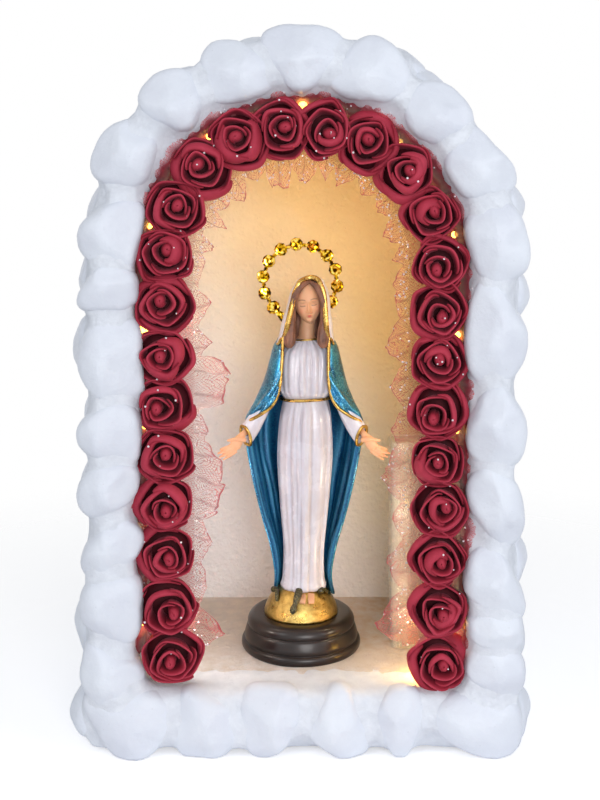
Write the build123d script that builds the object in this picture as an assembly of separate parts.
from build123d import *
from math import asin, cos, pi, radians, sin
import os

# A table-top devotional grotto: an arched niche of plaster faced with white pebbles,
# a rose and tulle garland with a string of lamps round its mouth, and a robed figure
# on a globe and plinth inside. Millimetres, Z up, the open front faces -Y.
# The origin is the middle of the flat underside.

# ---- Plaster body -------------------------------------------------------------
base_height = 28.0
floor_bed_thickness = 3.0
niche_radius = 80.0
wall_thickness = 24.0
arch_centre_z = 240.0
front_y = -65.0
back_wall_y = 57.0
back_wall_thickness = 8.0
front_mortar_depth = 15.0

# ---- Stones -------------------------------------------------------------------
stone_joint = 1.6
front_stone_width = 29.5
front_stone_rise = 16.0
front_stone_rim = 0.6
base_stone_lip = 2.0
base_stone_rise = 15.0
base_row_overhang = 3.0
outer_stone_rise = 13.0
outer_row_gap = 3.0
outer_rows = 3
outer_stones_per_row = 21
side_stones_per_base = 4

# ---- Garland ------------------------------------------------------------------
rose_depth = 24.0
rose_width = 28.0
rim_share = 0.58
rose_gap = 0.8
rose_floor_gap = 8.0
tulle_thickness = 1.0
tulle_outer_gap = 5.5
tulle_reach = 19.0
tulle_scallop = 11.0
wire_diameter = 1.6
lamp_diameter = 4.4
lamp_length = 15.0
seat_gap = 0.3

# ---- Battery case -------------------------------------------------------------
cell_diameter = 14.5
cell_length = 50.5
case_wall = 1.5
case_side_room = 6.5
case_head_room = 8.0
case_corner = 4.0
case_centre_y = -6.0

# ---- Figure -------------------------------------------------------------------
statue_y = -10.0
plinth_diameter = 65.0
plinth_top_diameter = 55.0
plinth_height = 18.0
globe_radius = 20.9
globe_height = 17.5
figure_height = 166.3
snake_diameter = 4.6
belt_thickness = 1.4
belt_height = 2.6
hand_length = 17.5
hand_width = 10.0
halo_drop = 4.0
halo_radius = 20.5
halo_bar = 1.4
halo_bead_diameter = 7.0
halo_bead_rise = 4.5
halo_beads = 11
halo_bead_step = 25.7
halo_turn = -5.6

# ---- Derived places -----------------------------------------------------------
floor_z = base_height + floor_bed_thickness
shell_radius = niche_radius + wall_thickness
back_y = back_wall_y + back_wall_thickness
mortar_back_y = front_y + front_mortar_depth
base_stone_height = floor_z + base_stone_lip
front_stone_foot = base_stone_height + stone_joint
rose_foot = floor_z + rose_floor_gap
tulle_front_y = front_y + rim_share * rose_depth + seat_gap
case_width = cell_diameter + 2 * case_wall + case_side_room
case_height = 2 * cell_length + 2 * case_wall + case_head_room
plinth_top_z = floor_z + plinth_height
globe_centre_z = plinth_top_z + globe_height - globe_radius
globe_top_z = plinth_top_z + globe_height

# Shares of the run that each front stone takes, from the left foot over the arch.
left_shares = (30, 33, 28, 25, 27, 44, 23, 33)
arch_shares = (31, 31, 34, 37, 34, 32, 34)
right_shares = (36, 49, 38, 37, 33, 18, 29)
base_shares = (44, 30, 30, 31, 26, 44)
outer_shares = (36, 30, 40, 27, 34, 31, 38)

# A stone's outline, level by level: share of its rise, then scale of its outline.
front_levels = ((0.0, 0.88), (0.35, 1.0), (0.75, 0.84), (1.0, 0.46))
outer_levels = ((0.0, 0.94), (0.4, 1.0), (1.0, 0.58))


# ---- Shared helpers -----------------------------------------------------------
def arch_face(radius, foot_z):
    """The upright outline in X and Z: a half disc on two straight legs."""
    outline = Line((-radius, foot_z), (radius, foot_z))
    outline += Line((radius, foot_z), (radius, arch_centre_z))
    outline += CenterArc((0, arch_centre_z), radius, 0, 180)
    outline += Line((-radius, arch_centre_z), (-radius, foot_z))
    return make_face(outline)


def upright(face, y_front, y_back):
    """Extrudes an outline drawn in X and Z from one depth to another."""
    return extrude(Plane.XZ.offset(-y_back) * face, y_back - y_front)


def block(x0, x1, y0, y1, z0, z1):
    """An upright box between two corners."""
    middle = ((x0 + x1) / 2, (y0 + y1) / 2, (z0 + z1) / 2)
    return Pos(*middle) * Box(x1 - x0, y1 - y0, z1 - z0)


def shares_of_run(start, end, shares, joint):
    """Splits a run in proportion, with a joint between pieces: (middle, length) of each."""
    unit = (end - start - joint * (len(shares) - 1)) / sum(shares)
    places, at = [], start
    for share in shares:
        length = unit * share
        places.append((at + length / 2, length))
        at += length + joint
    return places


def ring_length(radius, foot_z):
    """Length of the path up one leg, over the arch and down the other leg."""
    return 2 * (arch_centre_z - foot_z) + pi * radius


def on_ring(radius, foot_z, run):
    """Point (x, z) at a run along that path, and its outward direction (x, z)."""
    leg = arch_centre_z - foot_z
    if run < leg:
        return (-radius, foot_z + run), (-1.0, 0.0)
    if run > leg + pi * radius:
        return (radius, arch_centre_z - (run - leg - pi * radius)), (1.0, 0.0)
    angle = pi - (run - leg) / radius
    return (radius * cos(angle), arch_centre_z + radius * sin(angle)), (cos(angle), sin(angle))


def rounded_ring(half_x, half_y, sides, spin, square):
    """Points of a rounded outline; square over 1 fills its corners out."""
    points = []
    for i in range(sides):
        a = spin + 2 * pi * i / sides
        c, s = cos(a), sin(a)
        reach = (abs(c) ** (2 * square) + abs(s) ** (2 * square)) ** (-1 / (2 * square))
        points.append((half_x * c * reach, half_y * s * reach))
    return points


def flat(points):
    """A flat face with those corners."""
    return Face(Wire.make_polygon([Vector(*p) for p in points], close=True))


def is_flat(points):
    """Whether four corners lie in one plane."""
    a, b, c, d = (Vector(*p) for p in points)
    return abs((b - a).cross(c - a).dot(d - a)) < 1e-6


def skin(rings):
    """A closed solid over rings of as many points each, with flat ends and flat facets."""
    faces = [flat(rings[0]), flat(rings[-1])]
    for low, high in zip(rings, rings[1:]):
        for i, corner in enumerate(low):
            j = (i + 1) % len(low)
            quad = (corner, low[j], high[j], high[i])
            if is_flat(quad):
                faces.append(flat(quad))
            else:
                faces += [flat(quad[:3]), flat((quad[0], quad[2], quad[3]))]
    return Solid(Shell(faces))


def pebble(length, width, rise, levels, sides, spin):
    """A rounded stone on a flat seat: one outline, scaled from level to level."""
    rim = rounded_ring(length / 2, width / 2, sides, spin, 1.45)
    return skin([[(x * k, y * k, rise * height) for x, y in rim] for height, k in levels])


def ring_skin(levels, sides, grow=0.0, fold=0.0):
    """A solid over level rings (z, x, y, half width, half depth), with folds if asked."""
    rings = []
    for z, x, y, half_x, half_y in levels:
        ring = []
        for i in range(sides):
            a = 2 * pi * (i + 0.5) / sides
            k = 1.0 - fold * (i % 2)
            ring.append((x + (half_x + grow) * k * cos(a), y + (half_y + grow) * k * sin(a), z))
        rings.append(ring)
    return skin(rings)


def limb(start, end, sections):
    """A solid of rounded rings (share of the way, half width, half depth) from start to end."""
    start, end = Vector(*start), Vector(*end)
    along = end - start
    across = along.cross(Vector(0, 1, 0)).normalized()
    rings = []
    for share, half_x, half_y in sections:
        plane = Plane(start + along * share, x_dir=across, z_dir=along)
        ring = rounded_ring(half_x, half_y, 8, pi / 8, 1.0)
        rings.append([tuple(plane.from_local_coords((x, y, 0))) for x, y in ring])
    return skin(rings)


# ---- Plaster body -------------------------------------------------------------
def make_base_block():
    return block(-shell_radius, shell_radius, front_y, back_y, 0, base_height)


def make_floor_bed():
    return block(-niche_radius, niche_radius, front_y, back_wall_y, base_height, floor_z)


def make_vault_shell():
    wall = arch_face(shell_radius, base_height) - arch_face(niche_radius, base_height)
    return upright(wall, mortar_back_y, back_wall_y)


def make_front_mortar():
    wall = arch_face(shell_radius, base_height) - arch_face(niche_radius, base_height)
    return upright(wall, front_y, mortar_back_y)


def make_back_panel():
    return upright(arch_face(shell_radius, base_height), back_wall_y, back_y)


# ---- Stones -------------------------------------------------------------------
def make_front_stones():
    """Left leg, arch and right leg of the facing, as three lists."""
    path_radius = niche_radius + front_stone_width / 2 + front_stone_rim
    shares = left_shares + arch_shares + right_shares
    run = ring_length(path_radius, front_stone_foot)
    stones = []
    for i, (middle, length) in enumerate(shares_of_run(0, run, shares, stone_joint)):
        (x, z), (out_x, out_z) = on_ring(path_radius, front_stone_foot, middle)
        seat = Plane((x, front_y, z), x_dir=(out_z, 0, -out_x), z_dir=(0, -1, 0))
        rise = front_stone_rise * (1.0 + 0.08 * sin(2.3 * i))
        width = front_stone_width * (1.0 + 0.04 * sin(1.7 * i))
        stones.append(seat * pebble(length, width, rise, front_levels, 8, 0.35 * i))
    left, arch = len(left_shares), len(left_shares) + len(arch_shares)
    return stones[:left], stones[left:arch], stones[arch:]


def make_base_stones():
    half_row = shell_radius + base_row_overhang
    stones = []
    for i, (x, length) in enumerate(shares_of_run(-half_row, half_row, base_shares, stone_joint)):
        seat = Plane((x, front_y, base_stone_height / 2 + 0.2), x_dir=(1, 0, 0), z_dir=(0, -1, 0))
        height = base_stone_height * (1.0 - 0.03 * (i % 3))
        stones.append(seat * pebble(length, height, base_stone_rise, front_levels, 8, 0.3 * i))
    return stones


def outer_row_places():
    """Middle and width in Y of each row of stones round the outside."""
    return shares_of_run(mortar_back_y, back_wall_y, (1,) * outer_rows, outer_row_gap)


def make_outer_stones():
    """Stones on the outside of the vault, row behind row: left, arch and right."""
    left, arch, right = [], [], []
    run = ring_length(shell_radius, floor_z)
    leg = arch_centre_z - floor_z
    for row, (y, width) in enumerate(outer_row_places()):
        shares = [outer_shares[(i + 3 * row) % len(outer_shares)] for i in range(outer_stones_per_row)]
        for i, (middle, length) in enumerate(shares_of_run(0, run, shares, stone_joint)):
            (x, z), (out_x, out_z) = on_ring(shell_radius, floor_z, middle)
            seat = Plane((x, y, z), x_dir=(0, 1, 0), z_dir=(out_x, 0, out_z))
            rise = outer_stone_rise * (1.0 + 0.12 * sin(1.9 * i + row))
            stone = seat * pebble(width, length, rise, outer_levels, 6, 0.5 * i)
            side = left if middle < leg else right if middle > run - leg else arch
            side.append(stone)
    return left, arch, right


def make_base_side_stones(side):
    stones = []
    runs = shares_of_run(front_y, back_y, (1.1, 0.9, 1.2, 1.0)[:side_stones_per_base], stone_joint)
    for i, (y, length) in enumerate(runs):
        height = base_height - stone_joint
        seat = Plane((side * shell_radius, y, base_height / 2), x_dir=(0, 1, 0), z_dir=(side, 0, 0))
        stones.append(seat * pebble(length, height, outer_stone_rise, outer_levels, 6, 0.4 * i))
    return stones


# ---- Garland ------------------------------------------------------------------
def rose_path_radius():
    return niche_radius - seat_gap - rose_width / 2


def rose_places():
    """Run and width of each rose along its path, bottom left to bottom right."""
    shares = (1.06,) * 9 + (1.0, 1.0, 0.96, 0.8, 0.94, 1.0, 1.0, 1.0) + (1.04,) * 9
    return shares_of_run(0, ring_length(rose_path_radius(), rose_foot), shares, rose_gap)


# A rose from its foot to its bud, rim and trough in turn: share of its half width,
# share of its depth, and turn in sixths of the angle between petals.
rose_rings = (
    (0.42, 0.0, 0), (1.0, rim_share, 0), (0.82, 0.5, 0), (0.8, 0.74, 3),
    (0.62, 0.62, 3), (0.56, 0.9, 5), (0.38, 0.78, 5), (0.28, 1.0, 8),
)


def rose(width, across):
    """A foam rose: petal rims stepped one inside the other about a closed bud."""
    rings = []
    for share, height, sixths in rose_rings:
        turn = pi / 2 + sixths * pi / 18
        ring = rounded_ring(width / 2 * share, across / 2 * share, 6, turn, 1.0)
        rings.append([(x, y, height * rose_depth) for x, y in ring])
    return skin(rings)


def make_roses():
    back_of_rose = tulle_front_y - seat_gap
    flowers = []
    for middle, width in rose_places():
        (x, z), (out_x, out_z) = on_ring(rose_path_radius(), rose_foot, middle)
        seat = Plane((x, back_of_rose, z), x_dir=(out_z, 0, -out_x), z_dir=(0, -1, 0))
        flowers.append(seat * rose(width, rose_width))
    return flowers[:9], flowers[9:17], flowers[17:]


def make_tulle(first, last):
    """A thin ruffled band behind the roses numbered first to last, scalloped inwards."""
    places = rose_places()[first:last]
    outer_radius = niche_radius - tulle_outer_gap
    outer, inner = [], []
    for middle, width in places:
        for share, wave in ((-0.42, 0.0), (-0.14, 1.0), (0.14, 1.0), (0.42, 0.0)):
            (x, z), (out_x, out_z) = on_ring(rose_path_radius(), rose_foot, middle + share * width)
            lift = outer_radius - rose_path_radius()
            outer.append((x + out_x * lift, z + out_z * lift))
            drop = tulle_reach - tulle_scallop * (1.0 - wave)
            inner.append((x - out_x * drop, z - out_z * drop))
    band = make_face(Polyline(*(outer + inner[::-1]), close=True))
    return upright(band, tulle_front_y, tulle_front_y + tulle_thickness)


def wire_radius():
    return niche_radius - seat_gap - wire_diameter / 2


def wire_y():
    return tulle_front_y + tulle_thickness + seat_gap + wire_diameter / 2


def make_light_wire():
    """The lead of the lamps, up one side, over the arch and down into the battery case."""
    left_end = rose_foot + 4.0
    right_end = floor_z + case_height + seat_gap
    turns = 24
    stations = [(pi, left_end)] + [(pi - pi * i / turns, arch_centre_z) for i in range(turns + 1)]
    stations.append((0.0, right_end))
    rings = []
    for angle, centre_z in stations:
        ring = []
        for i in range(6):
            a = pi / 2 + i * pi / 3
            reach = wire_radius() + wire_diameter / 2 * cos(a)
            y = wire_y() + wire_diameter / 2 * sin(a)
            ring.append((reach * cos(angle), y, centre_z + reach * sin(angle)))
        rings.append(ring)
    return skin(rings)


def make_light_lamps():
    """Lamps on the wire, in every second gap between roses."""
    lift = niche_radius - seat_gap - lamp_diameter / 2 - rose_path_radius()
    back = wire_y() - wire_diameter / 2
    levels = ((0.0, 0.8), (0.2, 1.0), (0.75, 1.0), (1.0, 0.5))
    lamps = []
    places = rose_places()
    for (first, _), (second, _) in list(zip(places, places[1:]))[::2]:
        between = (first + second) / 2
        (x, z), (out_x, out_z) = on_ring(rose_path_radius(), rose_foot, between)
        place = (x + out_x * lift, back, z + out_z * lift)
        seat = Plane(place, x_dir=(1, 0, 0), z_dir=(0, -1, 0))
        lamps.append(seat * pebble(lamp_diameter, lamp_diameter, lamp_length, levels, 6, 0.0))
    return lamps


# ---- Battery case -------------------------------------------------------------
def case_box(inset):
    """The case with its lower and upper front edges rounded, or the room inside its wall."""
    x1 = niche_radius - seat_gap
    half = case_width / 2 - inset
    box = block(
        x1 - case_width + inset,
        x1 - inset,
        case_centre_y - half,
        case_centre_y + half,
        floor_z + inset,
        floor_z + case_height - inset,
    )
    side_edges = box.edges().filter_by(Axis.Y).sort_by(Axis.X)[:2]
    return fillet(side_edges, case_corner - inset)


def make_battery_case():
    return case_box(0.0) - case_box(case_wall)


def make_battery_cells():
    """Two round cells, one standing on the other."""
    radius = cell_diameter / 2
    x = niche_radius - seat_gap - case_width / 2
    cells = []
    for i in range(2):
        foot = floor_z + case_wall + i * cell_length
        ends = [(z, x, case_centre_y, radius, radius) for z in (foot, foot + cell_length)]
        cells.append(ring_skin(ends, 24))
    return cells


# ---- Figure -------------------------------------------------------------------
# Rings of each garment as the figure is drawn: height over its feet, x and y from the
# plinth's axis, half width, half depth. The veil's last ring is its full drawn height.
figure_sides = 16
robe_rings = (
    (-7, 1.5, -1.0, 12.2, 10.5), (19, 1.5, -1.0, 11.0, 10.0),
    (41, 1.5, -1.0, 13.5, 11.5), (66, 1.0, -1.0, 15.4, 12.0), (84, 1.2, -1.0, 14.6, 11.5),
    (99, 1.5, -0.5, 13.0, 10.2), (102, 1.5, -0.5, 13.6, 10.8), (116, 2.0, 0.0, 14.0, 10.2),
    (126, 2.5, 0.0, 11.6, 8.4), (131.5, 2.8, 0.0, 5.8, 5.8),
)
mantle_rings = (
    (-8, 1.2, 2.0, 17.6, 14.0), (4, 1.3, 2.0, 15.6, 13.0), (21, 1.1, 2.0, 17.7, 13.5),
    (33, 1.6, 2.0, 21.5, 14.5), (55, 2.0, 2.0, 26.7, 15.5), (74, 1.3, 2.0, 30.4, 16.0),
    (89, 1.6, 2.0, 31.2, 16.0), (100, 1.6, 2.0, 26.4, 15.5), (110, 1.8, 2.0, 21.5, 14.5),
    (130, 2.2, 2.0, 16.0, 11.5), (132.5, 2.2, 2.0, 12.0, 8.5),
)
head_rings = (
    (131.8, 2.8, 0.0, 4.6, 4.6), (137.5, 3.4, -1.0, 4.2, 4.6), (140.5, 3.8, -3.0, 4.2, 5.2),
    (145.5, 3.8, -3.0, 6.4, 8.2), (151.5, 3.8, -3.0, 7.3, 9.0), (157.5, 3.8, -2.5, 6.9, 8.8),
    (163, 3.8, -2.0, 2.6, 3.6),
)
veil_rings = (
    (132.8, 2.4, 3.0, 14.6, 9.6), (139.5, 3.2, 2.0, 12.2, 10.0), (147.5, 3.6, 0.5, 12.0, 11.6),
    (155.5, 3.8, 0.0, 11.2, 12.0), (161.5, 3.8, 0.0, 8.8, 10.0), (166.3, 3.8, 0.0, 3.6, 4.6),
)


drawn_height = veil_rings[-1][0]


def in_niche(height, x, y):
    """A point of the drawn figure at its place and size in the niche."""
    k = figure_height / drawn_height
    return x * k, statue_y + y * k, globe_top_z + height * k


def placed(rings):
    """Rings of the drawn figure at their place and size in the niche."""
    k = figure_height / drawn_height
    moved = []
    for height, x, y, half_x, half_y in rings:
        x, y, z = in_niche(height, x, y)
        moved.append((z, x, y, half_x * k, half_y * k))
    return moved


def room(rings, sides=2 * figure_sides):
    """The envelope of a garment with the gap that its neighbours keep."""
    return ring_skin(placed(rings), sides, grow=seat_gap)


def front_opening(share, y_limit):
    """The space before the robe, as wide as a share of it."""
    reach = 4 * figure_height
    rings = []
    for z, x, _, half_x, _ in placed(robe_rings):
        a = half_x * share
        rings.append([(x - a, y_limit - reach, z), (x + a, y_limit - reach, z), (x + a, y_limit, z), (x - a, y_limit, z)])
    return skin(rings)


def make_plinth():
    """Turned mouldings about the plinth's axis: a foot, a groove, a wide band and a top band."""
    foot, top, h = plinth_diameter / 2, plinth_top_diameter / 2, plinth_height
    step = foot - top
    profile = (
        (0.0, foot), (0.24, foot), (0.34, foot - 0.35 * step), (0.64, foot - 0.3 * step),
        (0.74, top - 0.2 * step), (0.82, top), (1.0, top - 0.1 * step),
    )
    return ring_skin([(floor_z + share * h, 0, statue_y, r, r) for share, r in profile], 40)


def globe_solid(grow=0.0):
    """The upper part of a ball, flat where it stands on the plinth."""
    rings = []
    start = asin((plinth_top_z - globe_centre_z) / globe_radius)
    end = 0.97 * pi / 2
    radius = globe_radius + grow
    for i in range(8):
        a = start + (end - start) * i / 7
        rings.append((globe_centre_z + radius * sin(a), 0, statue_y, radius * cos(a), radius * cos(a)))
    return ring_skin(rings, 24)


def on_globe(around, up, lift):
    """Point over the globe's surface at an angle round it and an angle up it, in degrees."""
    radius = globe_radius + lift
    a, b = radians(around), radians(up)
    return (
        radius * cos(b) * cos(a),
        statue_y + radius * cos(b) * sin(a),
        globe_centre_z + radius * sin(b),
    )


def make_snake():
    """The head and two bends of the body that show round the hem, each lying on the globe."""
    r = snake_diameter / 2
    lift = r + seat_gap
    head = limb(
        on_globe(-96, 52, lift), on_globe(-100, 22, lift),
        ((0, r, r * 0.9), (0.45, r * 0.8, r * 0.8), (0.62, r * 0.7, r * 0.7), (0.8, r, r * 0.8), (1, r * 0.4, r * 0.4)),
    )
    bends = []
    for start, end in (((-172, 44), (-146, 30)), ((-34, 47), (-8, 42))):
        bends.append(limb(
            on_globe(*start, lift), on_globe(*end, lift),
            ((0, r * 0.6, r * 0.6), (0.4, r, r * 0.9), (1, r * 0.5, r * 0.5)),
        ))
    cut = globe_solid(seat_gap)
    return [piece - cut - room(robe_rings) - room(mantle_rings) for piece in (head, *bends)]


def make_robe():
    return ring_skin(placed(robe_rings), 2 * figure_sides, fold=0.05) - globe_solid()


def make_belt():
    """The girdle across the open front."""
    rings = [ring for ring in robe_rings if 60 < ring[0] < 120]
    band = ring_skin(placed(rings), 2 * figure_sides, grow=seat_gap + belt_thickness) - room(rings)
    z = in_niche(100.5, 0, 0)[2]
    half = belt_height / 2
    in_front = front_opening(0.93, statue_y - 1.0)
    return band & in_front & block(-niche_radius, niche_radius, front_y, back_wall_y, z - half, z + half)


def make_mantle():
    cloth = ring_skin(placed(mantle_rings), 2 * figure_sides, fold=0.04)
    cloth -= front_opening(0.98, statue_y)
    for neighbour in (room(robe_rings), room(head_rings, figure_sides), globe_solid(seat_gap)):
        cloth -= neighbour
    return cloth


def sleeve_end(side):
    return in_niche(80.5, 1.4 + side * 28.6, -13.0)


def make_sleeve(side):
    start = in_niche(96.0, 1.4 + side * 19.0, -5.0)
    raw = limb(start, sleeve_end(side), ((0, 4.4, 4.2), (0.7, 5.2, 5.0), (1, 5.6, 4.8)))
    return raw - room(mantle_rings) - room(robe_rings)


def make_hand(side):
    """An open hand that points outwards and a little down from the cuff."""
    x, y, z = sleeve_end(side)
    reach, half = hand_length, hand_width / 2
    end = (x + side * 0.9 * reach, y - 0.22 * reach, z - 0.38 * reach)
    raw = limb((x, y, z), end, (
        (0, 0.5 * half, 2.0), (0.25, 0.7 * half, 2.2), (0.5, half, 2.3),
        (0.75, 0.95 * half, 1.7), (1, 0.6 * half, 0.9),
    ))
    return raw - make_sleeve(side) - room(mantle_rings)


def make_hair(side):
    """A lock beside the face that comes down over the chest."""
    rings = placed((
        (147.5, 3.8 + side * 7.6, -7.0, 1.6, 2.2), (141.5, 3.7 + side * 8.0, -7.6, 2.4, 3.1),
        (135.0, 3.4 + side * 7.8, -8.6, 3.0, 3.4), (131.0, 3.1 + side * 7.4, -9.2, 2.9, 3.0),
        (128.0, 2.9 + side * 7.2, -9.6, 1.6, 1.8),
    ))
    raw = ring_skin(rings, 8)
    for neighbour in (robe_rings, mantle_rings, veil_rings, head_rings):
        raw -= room(neighbour)
    return raw


def make_feet():
    """The toes of both feet, on the globe before the hem."""
    feet = []
    for side in (-1, 1):
        x, y, z = in_niche(-6.5, 2.5 + side * 3.6, -8.0)
        raw = limb((x, y, z), (x, y - 9.5, z - 3.3), ((0, 2.8, 2.0), (0.6, 3.0, 1.9), (1, 1.6, 1.0)))
        feet.append(raw - room(robe_rings) - globe_solid(seat_gap))
    return feet


def make_head():
    return ring_skin(placed(head_rings), 12)


def make_veil():
    cloth = ring_skin(placed(veil_rings), figure_sides) - room(head_rings, figure_sides)
    low, high = in_niche(120, 3.8 - 6.8, -3.0), in_niche(160.5, 3.8 + 6.8, -3.0)
    return cloth - block(low[0], high[0], front_y, low[1], low[2], high[2])


# ---- Halo ---------------------------------------------------------------------
def halo_centre():
    x, _, top = in_niche(drawn_height, -0.5, 0)
    return x, top - halo_drop


def back_of(rings, z):
    """Depth of a garment's back at a height, between its rings."""
    placed_rings = placed(rings)
    for (z0, _, y0, _, b0), (z1, _, y1, _, b1) in zip(placed_rings, placed_rings[1:]):
        if z <= z1:
            share = (z - z0) / (z1 - z0)
            return y0 + b0 + share * (y1 + b1 - y0 - b0)
    return placed_rings[-1][2] + placed_rings[-1][4]


def halo_front_y():
    """The ring lies against the back of the veil where its foot crosses it."""
    z = halo_centre()[1] - halo_radius + halo_bar / 2
    return back_of(veil_rings, z) + seat_gap


def make_halo_ring():
    x, z = halo_centre()
    ring = RegularPolygon(halo_radius + halo_bar / 2, 28) - RegularPolygon(halo_radius - halo_bar / 2, 28)
    return upright(Pos(x, z) * ring, halo_front_y(), halo_front_y() + halo_bar)


def make_halo_beads():
    x, z = halo_centre()
    levels = ((0.0, 0.7), (0.45, 1.0), (1.0, 0.4))
    beads = []
    for i in range(halo_beads):
        a = radians(90 - halo_turn - (i - (halo_beads - 1) / 2) * halo_bead_step)
        place = (x + halo_radius * cos(a), halo_front_y(), z + halo_radius * sin(a))
        seat = Plane(place, x_dir=(1, 0, 0), z_dir=(0, -1, 0))
        beads.append(seat * pebble(halo_bead_diameter, halo_bead_diameter, halo_bead_rise, levels, 6, a))
    return beads


# ---- Writing ------------------------------------------------------------------
def keep(name, shape):
    """Writes one node; several solids of one kind share a node."""
    if isinstance(shape, (list, tuple)):
        shape = Compound(children=[solid for piece in shape for solid in piece.solids()])
    export_step(shape, f"parts/{name}.step")


os.makedirs("parts", exist_ok=True)

keep("base_block", make_base_block())
keep("floor_bed", make_floor_bed())
keep("vault_shell", make_vault_shell())
keep("front_mortar", make_front_mortar())
keep("back_panel", make_back_panel())

for name, stones in zip(("left", "arch", "right"), make_front_stones()):
    keep(f"stones_front_{name}", stones)
keep("stones_front_base", make_base_stones())
for name, stones in zip(("left", "arch", "right"), make_outer_stones()):
    keep(f"stones_outer_{name}", stones)
keep("stones_base_left", make_base_side_stones(-1))
keep("stones_base_right", make_base_side_stones(1))

for name, flowers in zip(("left", "arch", "right"), make_roses()):
    keep(f"roses_{name}", flowers)
keep("tulle_left", make_tulle(0, 9))
keep("tulle_arch", make_tulle(9, 17))
keep("tulle_right", make_tulle(17, 26))
keep("light_wire", make_light_wire())
keep("light_lamps", make_light_lamps())
keep("battery_case", make_battery_case())
keep("battery_cells", make_battery_cells())

keep("plinth", make_plinth())
keep("globe", globe_solid())
keep("snake", make_snake())
keep("figure_robe", make_robe())
keep("figure_belt", make_belt())
keep("figure_mantle", make_mantle())
keep("figure_head", make_head())
keep("figure_veil", make_veil())
for name, side in (("left", -1), ("right", 1)):
    keep(f"sleeve_{name}", make_sleeve(side))
    keep(f"hand_{name}", make_hand(side))
keep("figure_hair", [make_hair(-1), make_hair(1)])
keep("figure_feet", make_feet())
keep("halo_ring", make_halo_ring())
keep("halo_beads", make_halo_beads())
